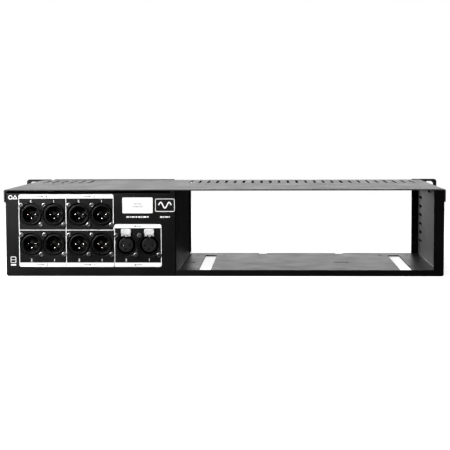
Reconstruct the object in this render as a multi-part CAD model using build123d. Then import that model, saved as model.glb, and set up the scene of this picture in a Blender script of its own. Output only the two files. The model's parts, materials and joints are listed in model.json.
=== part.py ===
from build123d import *
import os

# Rear-wired two-thirds-open 19 inch rack frame, two units high, with a passive audio module in one end.
# Millimetres. X runs across the rack, the front faces -Y, the rear faces +Y and +Z is up.
# The origin is the middle of the underside of the whole object's box.

# --- rack frame -------------------------------------------------------------------------------
EAR_SPAN = 482.6          # overall width over the rack ears
BODY_WIDTH = 443.2        # outside of the folded side walls
DEPTH = 220.0             # rear face to the plane the rack ears bolt against
COVER_TOP = 88.0          # upper face of the top cover
TRAY_SHEET = 1.5          # steel of the tray, the housing and the sub-panel
COVER_SHEET = 1.2         # steel of the top cover
FIT_GAP = 0.1             # working gap between neighbouring sheets
LIP_HEIGHT = 6.4          # upturned rear lip across the open bay
REAR_FLANGE = 211.3       # half width between the wall's rear flange and the centre plane
FRONT_FLANGE = 212.6      # the same at the front flanges and the rack ears' inner edges
COVER_LIP = 12.7          # how far the cover's side lips reach down outside the walls
COVER_FOLD = 8.3          # downward fold along the cover's front edge over the bay
CORNER_R = 1.4            # outside radius of the smaller folds

EAR_THICKNESS = 3.0
EAR_BOTTOM = 0.4
EAR_TOP = 88.6
EAR_SLOT_MIDDLE = 44.45   # height halfway between the two slots
EAR_SLOT_SPAN = 465.1     # across the rack, slot centre to slot centre
EAR_SLOT_RISE = 76.2      # up the rack
EAR_SLOT_LENGTH = 10.0
EAR_SLOT_WIDTH = 7.0

# --- vents and floor cut-outs -----------------------------------------------------------------
VENT_PITCH = 10.0
VENT_WIDTH = 3.0
COVER_VENT_LENGTH = 56.0
COVER_VENT_MIDDLE = 170.0     # distance from the rear face
BAY_VENTS = (-82.0, 26)       # middle of the row in X, number of slots
MODULE_VENTS = (183.0, 6)
WALL_VENT_LENGTH = 25.0
WALL_VENT_MIDDLE = 194.5
WALL_VENT_COUNT = 6
FLOOR_SLOT_CENTRES = (21.7, -189.0)
FLOOR_SLOT_WIDTH = 13.0
FLOOR_SLOT_START = 30.0
FLOOR_SLOT_END = 192.0
FIXING_HOLE_STEP = 15.4       # each side of a floor slot's centre line
FIXING_HOLE_DEPTH = 195.0
FIXING_HOLE_R = 2.0
EDGE_NOTCHES = (-38.1, -127.5)
EDGE_NOTCH_WIDTH = 9.0
EDGE_NOTCH_DEPTH = 9.0
CABLE_SLOT = (-125.0, 118.0, 17.5, 5.0)   # X, distance from the rear, length and width
FLOOR_HOLE = (37.6, 115.0, 2.5)           # X, distance from the rear and radius
WALL_HOLE_R = 1.75

# --- module compartment -----------------------------------------------------------------------
PARTITION_X = 48.0        # face of the partition towards the open bay
PARTITION_HEM = 10.0      # depth of the hem folded back on the partition's front edge
PANEL_TOP = 84.5          # folded top edge of the rear panel
MODULE_MIDDLE = 137.1
FACEPLATE_WIDTH = 144.8
FACEPLATE_THICKNESS = 4.0
FACEPLATE_BOTTOM = 0.1
FACEPLATE_TOP = 88.7

# --- three-pole audio sockets -----------------------------------------------------------------
OUTPUT_COLUMNS = (195.4, 172.1, 146.8, 123.5)
OUTPUT_ROWS = (62.5, 32.2)
INPUT_COLUMNS = (98.9, 75.4)
INPUT_ROW = 31.7
PANEL_HOLE_R = 11.4
PANEL_HOLE_CHAMFER = 0.6
SCREW_OFFSET = 9.9        # socket screws sit on one diagonal, this far across and up
SOCKET_WIDTH = 22.6
SOCKET_HALF_HEIGHT = 12.5
SOCKET_BACK = 19.5        # rear of the socket blocks, measured from the rear face
CONTACT_OFFSET = 3.95
PIN_R = 1.2
CAVITY_R = 8.3
CAVITY_DEPTH = 13.6
RING_R = 10.2
INSERT_R = 7.4
FEMALE_BORE_R = 9.6
LATCH_RISE = 13.5         # middle of the push tab above the socket's centre
LATCH_WIDTH = 10.4
LATCH_HEIGHT = 6.5
LATCH_PROUD = 1.8
SPRING_START = 8.0        # back of the latch's stem, where its spring begins
SPRING_END = 15.0         # back of the latch's pocket

# --- front controls ---------------------------------------------------------------------------
KNOB_OFFSET = 36.0
KNOB_RISE = 55.0
KNOB_R = 11.5
KNOB_FRONT = 22.0         # knob face in front of the rack plane
BUTTON_PITCH = 33.0
BUTTON_RISE = 23.0
BUTTON_SIZE = 10.0
BUTTON_FRONT = 9.0

# --- boards -----------------------------------------------------------------------------------
BOARD = 1.6
SEAT = 0.05               # gap under a piece that sits on a board or a panel
MAIN_BOARD_Z = 9.0
MAIN_BOARD_X = (66.0, 206.0)
MAIN_BOARD_W = (50.0, 178.0)
FRONT_BOARD_W = 200.4
HEADER_HEIGHT = 9.0
RIBBON_THICKNESS = 0.9

HALF = BODY_WIDTH / 2
INNER = HALF - TRAY_SHEET
COVER_UNDER = COVER_TOP - COVER_SHEET
WALL_TOP = COVER_UNDER - FIT_GAP
REAR_Y = (DEPTH + KNOB_FRONT - LATCH_PROUD) / 2
MODULE_BACK = DEPTH - TRAY_SHEET
COVER_OUTSIDE = HALF + FIT_GAP + COVER_SHEET
MAIN_BOARD_TOP = MAIN_BOARD_Z + BOARD + SEAT
REAR_BOARD_W = SOCKET_BACK + 0.1
REAR_BOARD_FACE = REAR_BOARD_W + BOARD + SEAT
FRONT_BOARD_FACE = FRONT_BOARD_W + BOARD + SEAT


# --- small building blocks; w is a distance forward from the rear face ---------------------------
def slab(x0, x1, w0, w1, z0, z1):
    """Block between two X, two depths behind the front and two heights."""
    middle = ((x0 + x1) / 2, REAR_Y - (w0 + w1) / 2, (z0 + z1) / 2)
    return Pos(*middle) * Box(abs(x1 - x0), abs(w1 - w0), abs(z1 - z0))


def rod_y(x, z, w0, w1, r):
    return Pos(x, REAR_Y - (w0 + w1) / 2, z) * Rot(90, 0, 0) * Cylinder(r, abs(w1 - w0))


def rod_z(x, w, z0, z1, r):
    return Pos(x, REAR_Y - w, (z0 + z1) / 2) * Cylinder(r, abs(z1 - z0))


def rod_x(x0, x1, w, z, r):
    return Pos((x0 + x1) / 2, REAR_Y - w, z) * Rot(0, 90, 0) * Cylinder(r, abs(x1 - x0))


def slot_through_z(x, w, length, width, z0, z1):
    """Round-ended slot running front to back, cut between two heights."""
    shape = SlotOverall(length, width, rotation=90)
    return Pos(x, REAR_Y - w, z0) * extrude(shape, z1 - z0)


def hexagon_rod(across, height):
    return extrude(RegularPolygon(across / 2, 6, major_radius=False), height)


def facing(x, w, z, direction):
    """Plane whose +Z points out of a screw head; direction is the way the head faces."""
    return Plane(origin=(x, REAR_Y - w, z), z_dir=direction)


DOWN, UP = (0, 0, -1), (0, 0, 1)
OUT_REAR, OUT_FRONT = (0, 1, 0), (0, -1, 0)
OUT_PLUS_X, OUT_MINUS_X = (1, 0, 0), (-1, 0, 0)

SINK_R = 2.7
SINK_DEPTH = 1.2
THREAD_R = 1.5
SMALL_THREAD_R = 1.4
THREAD_GAP = 0.06         # clearance between a screw and its hole
HOLE_R = THREAD_R + THREAD_GAP
SMALL_HOLE_R = SMALL_THREAD_R + THREAD_GAP


def countersunk_screw(length):
    head = Pos(0, 0, -SINK_DEPTH / 2) * Cone(THREAD_R, SINK_R, SINK_DEPTH)
    shank = Pos(0, 0, -length / 2) * Cylinder(THREAD_R, length)
    socket = Pos(0, 0, -0.8) * hexagon_rod(2.0, 1.0)
    return head + shank - socket


def countersunk_hole(depth):
    """Clearance cut for a countersunk screw."""
    sink_r = SINK_R + THREAD_GAP
    head = Pos(0, 0, -SINK_DEPTH / 2) * Cone(HOLE_R, sink_r, SINK_DEPTH)
    above = Pos(0, 0, 1) * Cylinder(sink_r, 2)
    shank = Pos(0, 0, -depth / 2) * Cylinder(HOLE_R, depth)
    return head + above + shank


def button_screw(length, head_r=2.4, head_height=1.5, thread_r=SMALL_THREAD_R, recess=2.6):
    """Button-head screw with a hexagon recess this far across its flats."""
    head = Pos(0, 0, head_height / 2) * Cylinder(head_r, head_height)
    head = fillet(head.edges().filter_by(GeomType.CIRCLE).sort_by(Axis.Z)[-1], 0.9)
    shank = Pos(0, 0, -length / 2) * Cylinder(thread_r, length)
    socket = Pos(0, 0, head_height - 1.2) * hexagon_rod(recess, 2.0)
    return head + shank - socket


# --- fixing places --------------------------------------------------------------------------------
FOOT_SCREWS = [(56.0, w) for w in (30.0, 110.0, 190.0)]
SUBPANEL_FLOOR_SCREWS = [(x, 212.0) for x in (85.0, 131.0, 190.0)]
WALL_SCREWS = [(6.0, z) for z in (20.0, 66.0)]
PARTITION_SCREWS = [(212.0, z) for z in (22.0, 64.0)]
COVER_SCREWS = [(side, w) for side in (-1, 1) for w in (22.0, 110.0, 172.0)]
COVER_SCREW_Z = 80.0
EAR_SCREWS = [(side, z) for side in (-1, 1) for z in (14.0, 43.5, 73.0)]
EAR_SCREW_X = 215.8
FACEPLATE_SCREWS = [(MODULE_MIDDLE + sx * 65.0, z) for sx in (-1, 1) for z in (8.0, 80.0)]
STANDOFFS = [(x, w) for x in (71.0, 201.0) for w in (55.0, 173.0)]
SPACERS = [(MODULE_MIDDLE + sx * 60.0, z) for sx in (-1, 1) for z in (14.0, 68.0)]
KNOBS = {"left": MODULE_MIDDLE + KNOB_OFFSET, "right": MODULE_MIDDLE - KNOB_OFFSET}
BUTTONS = {n: MODULE_MIDDLE + BUTTON_PITCH * (2.5 - n) for n in (1, 2, 3, 4)}
OUTPUTS = {}
for z, numbers in zip(OUTPUT_ROWS, ((4, 3), (2, 1))):
    for x, name in zip(OUTPUT_COLUMNS, [f"{n}_{side}" for n in numbers for side in ("right", "left")]):
        OUTPUTS[name] = (x, z)
INPUTS = {"right": (INPUT_COLUMNS[0], INPUT_ROW), "left": (INPUT_COLUMNS[1], INPUT_ROW)}
SOCKETS = list(OUTPUTS.values()) + list(INPUTS.values())


def contacts(x, z):
    """Places of one socket's three contacts."""
    return [(x - CONTACT_OFFSET, z), (x + CONTACT_OFFSET, z), (x, z - CONTACT_OFFSET)]


# --- folded sheet ---------------------------------------------------------------------------------
def chassis_tray():
    """Floor and side walls folded from one sheet, with a rear lip, a rear flange and front flanges."""
    bend = 2.2
    outer = Pos(0, WALL_TOP / 2) * Rectangle(BODY_WIDTH, WALL_TOP)
    outer = fillet(outer.vertices().sort_by(Axis.Y)[:2], bend)
    inner = Pos(0, TRAY_SHEET + WALL_TOP / 2) * Rectangle(2 * INNER, WALL_TOP)
    inner = fillet(inner.vertices().sort_by(Axis.Y)[:2], bend - TRAY_SHEET)
    tray = Pos(0, REAR_Y, 0) * extrude(Plane.XZ * (outer - inner), DEPTH)

    tray += slab(-INNER, PARTITION_X, 0, TRAY_SHEET, 0, LIP_HEIGHT)
    tray += slab(-INNER, -REAR_FLANGE, 0, TRAY_SHEET, 0, WALL_TOP)
    for side in (-1, 1):
        tray += slab(side * INNER, side * FRONT_FLANGE, MODULE_BACK, DEPTH, 0, WALL_TOP)
    low_rear = tray.edges().filter_by(Axis.X).group_by(Axis.Z)[0].sort_by(Axis.Y)[-1]
    tray = fillet(low_rear, CORNER_R)
    tray -= slab(PARTITION_X - FIT_GAP, INNER, -1, TRAY_SHEET + FIT_GAP, -1, LIP_HEIGHT + 2)

    for x in FLOOR_SLOT_CENTRES:
        opening = Rectangle(FLOOR_SLOT_WIDTH, FLOOR_SLOT_END - FLOOR_SLOT_START)
        opening = fillet(opening.vertices(), 1.5)
        middle = REAR_Y - (FLOOR_SLOT_START + FLOOR_SLOT_END) / 2
        tray -= Pos(x, middle, -1) * extrude(opening, TRAY_SHEET + 2)
        for step in (-FIXING_HOLE_STEP, FIXING_HOLE_STEP):
            tray -= rod_z(x + step, FIXING_HOLE_DEPTH, -1, 3, FIXING_HOLE_R)
    hole_x, hole_w, hole_r = FLOOR_HOLE
    tray -= rod_z(hole_x, hole_w, -1, 3, hole_r)
    slot_x, slot_w, length, width = CABLE_SLOT
    tray -= Pos(slot_x, REAR_Y - slot_w, -1) * extrude(SlotOverall(length, width), 4)
    for x in EDGE_NOTCHES:
        half = EDGE_NOTCH_WIDTH / 2
        tray -= slab(x - half, x + half, DEPTH - EDGE_NOTCH_DEPTH, DEPTH + 1, -1, 3)

    wall_middle = WALL_TOP / 2
    first = wall_middle - VENT_PITCH * (WALL_VENT_COUNT - 1) / 2
    for side in (-1, 1):
        for i in range(WALL_VENT_COUNT):
            shape = SlotOverall(WALL_VENT_LENGTH, VENT_WIDTH, rotation=90)
            place = Plane(origin=(side * (HALF + 1), REAR_Y - WALL_VENT_MIDDLE, first + i * VENT_PITCH),
                          x_dir=(0, 0, 1), z_dir=(-side, 0, 0))
            tray -= extrude(place * shape, 4)
        tray -= rod_x(side * (HALF + 1), side * (INNER - 1), WALL_VENT_MIDDLE, wall_middle, WALL_HOLE_R)

    for x, w in FOOT_SCREWS + SUBPANEL_FLOOR_SCREWS:
        tray -= facing(x, w, 0, DOWN) * countersunk_hole(5)
    for w, z in WALL_SCREWS:
        tray -= facing(HALF, w, z, OUT_PLUS_X) * countersunk_hole(5)
    for side, w in COVER_SCREWS:
        tray -= rod_x(side * (INNER - 1), side * (HALF + 1), w, COVER_SCREW_Z, HOLE_R)
    for side, z in EAR_SCREWS:
        tray -= rod_y(side * EAR_SCREW_X, z, MODULE_BACK - 1, DEPTH + 1, HOLE_R)
    for x, w in STANDOFFS:
        tray -= rod_z(x, w, -1, 3, STANDOFF_R + THREAD_GAP)
    return tray


def top_cover():
    """Lid with side lips outside the walls, slotted near the front, folded down over the open bay."""
    bend = 1.5
    outer = Pos(0, COVER_TOP - COVER_LIP / 2) * Rectangle(2 * COVER_OUTSIDE, COVER_LIP)
    outer = fillet(outer.vertices().sort_by(Axis.Y)[-2:], bend)
    inner = Pos(0, COVER_UNDER - COVER_LIP / 2) * Rectangle(2 * (HALF + FIT_GAP), COVER_LIP)
    inner = fillet(inner.vertices().sort_by(Axis.Y)[-2:], bend - COVER_SHEET)
    cover = Pos(0, REAR_Y, 0) * extrude(Plane.XZ * (outer - inner), DEPTH - FIT_GAP)
    front = DEPTH - FIT_GAP
    fold_end = PARTITION_X - TRAY_SHEET - 1
    cover += slab(-FRONT_FLANGE + 0.6, fold_end, front - COVER_SHEET, front,
                  COVER_UNDER - COVER_FOLD, COVER_UNDER)
    for middle, count in (BAY_VENTS, MODULE_VENTS):
        for i in range(count):
            x = middle + VENT_PITCH * (i - (count - 1) / 2)
            cover -= slot_through_z(x, COVER_VENT_MIDDLE, COVER_VENT_LENGTH, VENT_WIDTH,
                                    COVER_UNDER - 1, COVER_TOP + 1)
    for side, w in COVER_SCREWS:
        direction = OUT_PLUS_X if side > 0 else OUT_MINUS_X
        cover -= facing(side * COVER_OUTSIDE, w, COVER_SCREW_Z, direction) * countersunk_hole(5)
    return cover


def module_housing():
    """Rear panel and partition folded from one sheet, closing the module off from the open bay."""
    corner_x = PARTITION_X + 5.4
    front = DEPTH - 2 * FIT_GAP
    housing = slab(PARTITION_X, INNER - FIT_GAP, 0, TRAY_SHEET, 0, PANEL_TOP)
    housing += slab(PARTITION_X, PARTITION_X + TRAY_SHEET, 0, front, 0, WALL_TOP)
    housing += slab(PARTITION_X, corner_x, 0, TRAY_SHEET, 0, WALL_TOP)
    housing += slab(corner_x, INNER - 1, 0, 10, PANEL_TOP - TRAY_SHEET, PANEL_TOP)
    upright = housing.edges().filter_by(Axis.Z).group_by(Axis.X)[0].sort_by(Axis.Y)[-1]
    housing = fillet(upright, CORNER_R)
    across = housing.edges().filter_by(Axis.X)
    upper = across.filter_by_position(Axis.Z, PANEL_TOP - 0.1, PANEL_TOP + 0.1).sort_by(Axis.Y)[-1]
    housing = fillet(upper, CORNER_R - 0.1)
    bottom = housing.edges().filter_by(Axis.X).group_by(Axis.Z)[0].sort_by(Axis.Y)[-1]
    housing = fillet(bottom, CORNER_R - 0.1)
    raised = TRAY_SHEET + FIT_GAP
    housing -= slab(PARTITION_X - 1, PARTITION_X + 6, raised, DEPTH, -1, raised)
    housing += slab(PARTITION_X - TRAY_SHEET, PARTITION_X, front - PARTITION_HEM, front, 3,
                    COVER_UNDER - COVER_FOLD - 1)
    housing += slab(PARTITION_X + TRAY_SHEET, PARTITION_X + 14, raised + 2, 200, raised,
                    raised + TRAY_SHEET)
    housing += slab(INNER - FIT_GAP - TRAY_SHEET, INNER - FIT_GAP, TRAY_SHEET, 12, 4, PANEL_TOP - 3)

    for x, z in SOCKETS:
        housing -= rod_y(x, z, -1, 3, PANEL_HOLE_R)
        rim = Cone(PANEL_HOLE_R, PANEL_HOLE_R + PANEL_HOLE_CHAMFER, PANEL_HOLE_CHAMFER)
        housing -= facing(x, PANEL_HOLE_CHAMFER / 2, z, OUT_REAR) * rim
        for sign in (-1, 1):
            housing -= rod_y(x + sign * SCREW_OFFSET, z + sign * SCREW_OFFSET, -1, 3, 1.6)
    for x, z in INPUTS.values():
        housing -= slab(x - 5.9, x + 5.9, -1, 3, z + 8, z + 17.3)
    for x, w in FOOT_SCREWS:
        housing -= rod_z(x, w, raised - 1, raised + 3, HOLE_R)
    for w, z in WALL_SCREWS:
        housing -= rod_x(INNER - 3, INNER + 1, w, z, HOLE_R)
    for w, z in PARTITION_SCREWS:
        housing -= facing(PARTITION_X - TRAY_SHEET, w, z, OUT_MINUS_X) * countersunk_hole(8)
    return housing


def front_subpanel():
    """Steel panel behind the faceplate, with a floor flange and a flange against the partition."""
    left = FRONT_FLANGE - 0.2
    right = PARTITION_X + TRAY_SHEET + FIT_GAP
    low = TRAY_SHEET + FIT_GAP
    panel = slab(right, left, MODULE_BACK, DEPTH, low, WALL_TOP)
    panel += slab(right + 15, left, 205, MODULE_BACK, low, low + TRAY_SHEET)
    panel += slab(right, right + TRAY_SHEET, 205, MODULE_BACK, 6, WALL_TOP - 2)
    for x in KNOBS.values():
        panel -= rod_y(x, KNOB_RISE, MODULE_BACK - 1, DEPTH + 1, BUSHING_R + 0.1)
    half = BUTTON_SIZE / 2 + 0.5
    for x in BUTTONS.values():
        panel -= slab(x - half, x + half, MODULE_BACK - 1, DEPTH + 1, BUTTON_RISE - half,
                      BUTTON_RISE + half)
    for x, z in FACEPLATE_SCREWS:
        panel -= rod_y(x, z, MODULE_BACK - 1, DEPTH + 1, SMALL_HOLE_R)
    for x, z in SPACERS:
        panel -= rod_y(x, z, MODULE_BACK - 1, DEPTH + 1, SPACER_R + THREAD_GAP)
    for x, w in SUBPANEL_FLOOR_SCREWS:
        panel -= rod_z(x, w, low - 1, low + 3, HOLE_R)
    for w, z in PARTITION_SCREWS:
        panel -= rod_x(right - 1, right + 3, w, z, HOLE_R)
    return panel


def module_faceplate():
    """Thick aluminium front plate of the module, rounded at its four corners."""
    half = FACEPLATE_WIDTH / 2
    front = DEPTH + FACEPLATE_THICKNESS
    plate = slab(MODULE_MIDDLE - half, MODULE_MIDDLE + half, DEPTH, front, FACEPLATE_BOTTOM,
                 FACEPLATE_TOP)
    plate = fillet(plate.edges().filter_by(Axis.Y), 2.5)
    plate = chamfer(plate.faces().sort_by(Axis.Y)[0].edges(), 0.5)
    for x in KNOBS.values():
        plate -= rod_y(x, KNOB_RISE, DEPTH - 1, front + 1, BUSHING_R + 0.1)
    cut = BUTTON_SIZE / 2 + 0.3
    for x in BUTTONS.values():
        plate -= slab(x - cut, x + cut, DEPTH - 1, front + 1, BUTTON_RISE - cut, BUTTON_RISE + cut)
    for x, z in FACEPLATE_SCREWS:
        plate -= rod_y(x, z, DEPTH - 1, front + 1, 1.6)
    return plate


def rack_ear(side):
    """Flat mounting plate in front of the tray's front flange, with two rack slots."""
    x0, x1 = side * FRONT_FLANGE, side * EAR_SPAN / 2
    face = DEPTH + EAR_THICKNESS
    ear = slab(x0, x1, DEPTH, face, EAR_BOTTOM, EAR_TOP)
    outer = ear.edges().filter_by(Axis.Y).group_by(Axis.X)[-1 if side > 0 else 0]
    ear = fillet(outer, 3.0)
    ear = chamfer(ear.faces().sort_by(Axis.Y)[0].edges(), 0.4)
    for rise in (-EAR_SLOT_RISE / 2, EAR_SLOT_RISE / 2):
        place = Plane(origin=(side * EAR_SLOT_SPAN / 2, REAR_Y - DEPTH + 1, EAR_SLOT_MIDDLE + rise),
                      x_dir=(1, 0, 0), z_dir=OUT_FRONT)
        ear -= extrude(place * SlotOverall(EAR_SLOT_LENGTH, EAR_SLOT_WIDTH), EAR_THICKNESS + 3)
    for where, z in EAR_SCREWS:
        if where == side:
            ear -= facing(side * EAR_SCREW_X, face, z, OUT_FRONT) * countersunk_hole(6)
    return ear


# --- sockets --------------------------------------------------------------------------------------
def output_socket(x, z):
    """Male socket: block behind the panel, round shell through it, open cavity with a key rib."""
    body = slab(x - SOCKET_WIDTH / 2, x + SOCKET_WIDTH / 2, TRAY_SHEET + SEAT, SOCKET_BACK,
                z - SOCKET_HALF_HEIGHT, z + SOCKET_HALF_HEIGHT)
    body = fillet(body.edges().filter_by(Axis.Y), 1.0)
    body += rod_y(x, z, -0.4, 3, RING_R)
    body = fillet(body.faces().sort_by(Axis.Y)[-1].edges(), 0.5)
    body -= rod_y(x, z, -1, CAVITY_DEPTH, CAVITY_R)
    rim = body.faces().sort_by(Axis.Y)[-1].edges().sort_by(SortBy.LENGTH)[0]
    body = chamfer(rim, 0.55)
    body += slab(x - 0.9, x + 0.9, 1.2, CAVITY_DEPTH, z - CAVITY_R - 0.5, z - CAVITY_R + 0.8)
    for cx, cz in contacts(x, z):
        body -= rod_y(cx, cz, CAVITY_DEPTH - 1, SOCKET_BACK + 1, PIN_R + 0.05)
    for sign in (-1, 1):
        body -= rod_y(x + sign * SCREW_OFFSET, z + sign * SCREW_OFFSET, 0, 10, SMALL_HOLE_R)
    return body


def output_pin(x, z):
    pin = rod_y(x, z, 3.2, SOCKET_BACK, PIN_R)
    pin = fillet(pin.faces().sort_by(Axis.Y)[-1].edges(), PIN_R - 0.15)
    return pin + rod_y(x, z, SOCKET_BACK, SOCKET_BACK + 3.2, 0.5)


def input_socket(x, z):
    """Female socket: block with a round bore for the plug's shell and a pocket for the push tab."""
    body = slab(x - SOCKET_WIDTH / 2, x + SOCKET_WIDTH / 2, TRAY_SHEET + SEAT, SOCKET_BACK,
                z - SOCKET_HALF_HEIGHT, z + 19.0)
    body = fillet(body.edges().filter_by(Axis.Y), 1.0)
    body += rod_y(x, z, 0.3, 3, PANEL_HOLE_R - 0.3)
    body -= rod_y(x, z, -1, 16, FEMALE_BORE_R)
    body -= slab(x - 5.6, x + 5.6, -1, 6.5, z + 8.8, z + 17.1)
    body -= slab(x - 2.4, x + 2.4, 6.0, SPRING_END, z + 11.1, z + 15.9)
    body -= rod_y(x, z, 15, SOCKET_BACK + 1, INSERT_R - 1.4)
    for sign in (-1, 1):
        body -= rod_y(x + sign * SCREW_OFFSET, z + sign * SCREW_OFFSET, 0, 10, SMALL_HOLE_R)
    return body


def input_insert(x, z):
    """Moulded contact carrier in the middle of the female socket."""
    insert = rod_y(x, z, 1.0, 15.95, INSERT_R)
    insert = fillet(insert.faces().sort_by(Axis.Y)[-1].edges(), 0.6)
    insert += rod_y(x, z, 15.95, SOCKET_BACK, INSERT_R - 1.45)
    for cx, cz in contacts(x, z):
        insert -= rod_y(cx, cz, 0, SOCKET_BACK + 1, 1.45)
    insert -= slab(x - 1.1, x + 1.1, 0, 14, z + INSERT_R - 1.3, z + INSERT_R + 1)
    return insert


def input_contact(x, z):
    sleeve = rod_y(x, z, 3.5, 17, 1.4) - rod_y(x, z, 3, 15, 1.15)
    return sleeve + rod_y(x, z, 17, SOCKET_BACK + 3.2, 0.5)


def input_latch(x, z):
    """Push tab with its two corner legs, its guide stem and the lug that catches the plug."""
    middle = z + LATCH_RISE
    tab = slab(x - LATCH_WIDTH / 2, x + LATCH_WIDTH / 2, -LATCH_PROUD, 0.9,
               middle - LATCH_HEIGHT / 2, middle + LATCH_HEIGHT / 2)
    corners = tab.edges().filter_by(Axis.Y).group_by(Axis.Z)
    tab = fillet(corners[0], 2.9)
    tab = fillet(tab.edges().filter_by(Axis.Y).group_by(Axis.Z)[-1], 1.8)
    tab = fillet(tab.faces().sort_by(Axis.Y)[-1].edges(), 0.6)
    for sign in (-1, 1):
        leg_x = x + sign * 3.6
        tab += slab(leg_x - 1.1, leg_x + 1.1, -0.5, 0.6, middle - LATCH_HEIGHT / 2 - 1.2, middle - 1.5)
    tab += slab(x - 2.1, x + 2.1, 0.5, SPRING_START, middle - 2.1, middle + 2.1)
    tab += slab(x - 1.5, x + 1.5, 2.2, 4.2, z + 8.2, middle - 2)
    return tab


def latch_spring(x, z):
    """Compression spring between the latch stem and the back of its pocket."""
    wire, coil_r, turns = 0.22, 1.6, 5
    start, end = SPRING_START + wire + 0.03, SPRING_END - wire - 0.03
    path = Helix(pitch=(end - start) / turns, height=end - start, radius=coil_r)
    ring = Plane(origin=path @ 0, z_dir=path % 0) * Circle(wire)
    coil = sweep(ring, path=path)
    return Pos(x, REAR_Y - start, z + LATCH_RISE) * Rot(90, 0, 0) * coil


# --- controls -------------------------------------------------------------------------------------
SHAFT_R = 3.0
BUSHING_R = 3.5
BUSHING_END = DEPTH + FACEPLATE_THICKNESS + 2.2
SWITCH_HALF = 6.0
STEM_HALF = 2.0


def level_pot(x):
    """Two-gang potentiometer: square can, threaded bushing, blind bore for the shaft."""
    half = 8.5
    pot = slab(x - half, x + half, FRONT_BOARD_FACE, MODULE_BACK - SEAT, KNOB_RISE - half,
               KNOB_RISE + half)
    pot = fillet(pot.edges().filter_by(Axis.Y), 1.2)
    pot += rod_y(x, KNOB_RISE, MODULE_BACK - 1, BUSHING_END, BUSHING_R)
    pot -= rod_y(x, KNOB_RISE, FRONT_BOARD_FACE + 3, BUSHING_END + 1, SHAFT_R + 0.05)
    return pot


def level_shaft(x):
    return rod_y(x, KNOB_RISE, FRONT_BOARD_FACE + 3.2, DEPTH + KNOB_FRONT - 4, SHAFT_R)


def level_knob(x):
    """Fluted aluminium knob that hides the pot's nut, with a pointer groove."""
    base = DEPTH + FACEPLATE_THICKNESS + 0.6
    face = DEPTH + KNOB_FRONT
    knob = rod_y(x, KNOB_RISE, base, face, KNOB_R)
    knob = chamfer(knob.faces().sort_by(Axis.Y)[0].edges(), 0.8)
    flutes = 30
    for step in PolarLocations(KNOB_R + 0.45, flutes):
        place = Pos(x, REAR_Y - (base + face) / 2 - 2, KNOB_RISE) * Rot(90, 0, 0) * step
        knob -= place * Cylinder(0.8, face - base - 4)
    knob -= rod_y(x, KNOB_RISE, base - 1, base + 3.0, 7.0)
    knob -= rod_y(x, KNOB_RISE, base - 1, face - 3.8, SHAFT_R + 0.01)
    knob -= slab(x - 0.6, x + 0.6, face - 0.5, face + 1, KNOB_RISE + 4.5, KNOB_RISE + KNOB_R)
    return knob


def pot_nut(x):
    nut = hexagon_rod(10, 2.0) - Pos(0, 0, 1) * Cylinder(BUSHING_R + THREAD_GAP, 4)
    return facing(x, DEPTH + FACEPLATE_THICKNESS, KNOB_RISE, OUT_FRONT) * nut


def output_switch(x):
    """Square switch body with an open bore for the button's stem."""
    bore = STEM_HALF + 0.2
    body = slab(x - SWITCH_HALF, x + SWITCH_HALF, FRONT_BOARD_FACE, 211.8, BUTTON_RISE - SWITCH_HALF,
                BUTTON_RISE + SWITCH_HALF)
    return body - slab(x - bore, x + bore, FRONT_BOARD_FACE + 1, 213, BUTTON_RISE - bore,
                       BUTTON_RISE + bore)


def output_button(x):
    """Square cap with rounded edges, on a square stem that runs in the switch."""
    half = BUTTON_SIZE / 2
    cap = slab(x - half, x + half, 215, DEPTH + BUTTON_FRONT, BUTTON_RISE - half, BUTTON_RISE + half)
    cap = fillet(cap.edges().filter_by(Axis.Y), 1.0)
    cap = fillet(cap.faces().sort_by(Axis.Y)[0].edges(), 0.6)
    return cap + slab(x - STEM_HALF, x + STEM_HALF, 206, 215.5, BUTTON_RISE - STEM_HALF,
                      BUTTON_RISE + STEM_HALF)


# --- boards and what is on them -------------------------------------------------------------------
STANDOFF_R = 2.5
SPACER_R = 2.0
TAIL_HOLE_R = 0.56
HEADER_Z = (40.0, 48.0)
CABLE_Z = sum(HEADER_Z) / 2


def rear_board():
    """Board that the ten sockets are soldered to, drilled for their tails."""
    board = slab(62, 208.5, REAR_BOARD_W, REAR_BOARD_W + BOARD, 15, 79)
    for x, z in SOCKETS:
        for cx, cz in contacts(x, z):
            board -= rod_y(cx, cz, SOCKET_BACK - 1, SOCKET_BACK + 4, TAIL_HOLE_R)
    return board


def main_board():
    board = slab(*MAIN_BOARD_X, *MAIN_BOARD_W, MAIN_BOARD_Z, MAIN_BOARD_Z + BOARD)
    for x, w in STANDOFFS:
        board -= rod_z(x, w, MAIN_BOARD_Z - 1, MAIN_BOARD_Z + 3, THREAD_R + 0.1)
    return board


def front_board():
    board = slab(68, 206, FRONT_BOARD_W, FRONT_BOARD_W + BOARD, 9, 73)
    for x, z in SPACERS:
        board -= rod_y(x, z, FRONT_BOARD_W - 1, FRONT_BOARD_W + 3, THREAD_R + 0.1)
    return board


def standoff(x, w):
    """Self-clinching pillar: its shank fills a hole in the floor, its top takes a board screw."""
    height = MAIN_BOARD_Z - TRAY_SHEET - 2 * SEAT
    pillar = Pos(x, REAR_Y - w, TRAY_SHEET + SEAT) * hexagon_rod(6, height)
    return pillar + rod_z(x, w, 0.1, 2, STANDOFF_R) - rod_z(x, w, 3, 12, THREAD_R + 0.03)


def spacer(x, z):
    """Pillar between the sub-panel and the front board, with its shank in the sub-panel."""
    length = MODULE_BACK - SEAT - FRONT_BOARD_FACE
    pillar = facing(x, FRONT_BOARD_FACE, z, OUT_FRONT) * hexagon_rod(5.5, length)
    pillar += rod_y(x, z, MODULE_BACK - 0.5, DEPTH - 0.1, SPACER_R)
    return pillar - rod_y(x, z, FRONT_BOARD_FACE - 1, FRONT_BOARD_FACE + 8, THREAD_R + 0.03)


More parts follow.
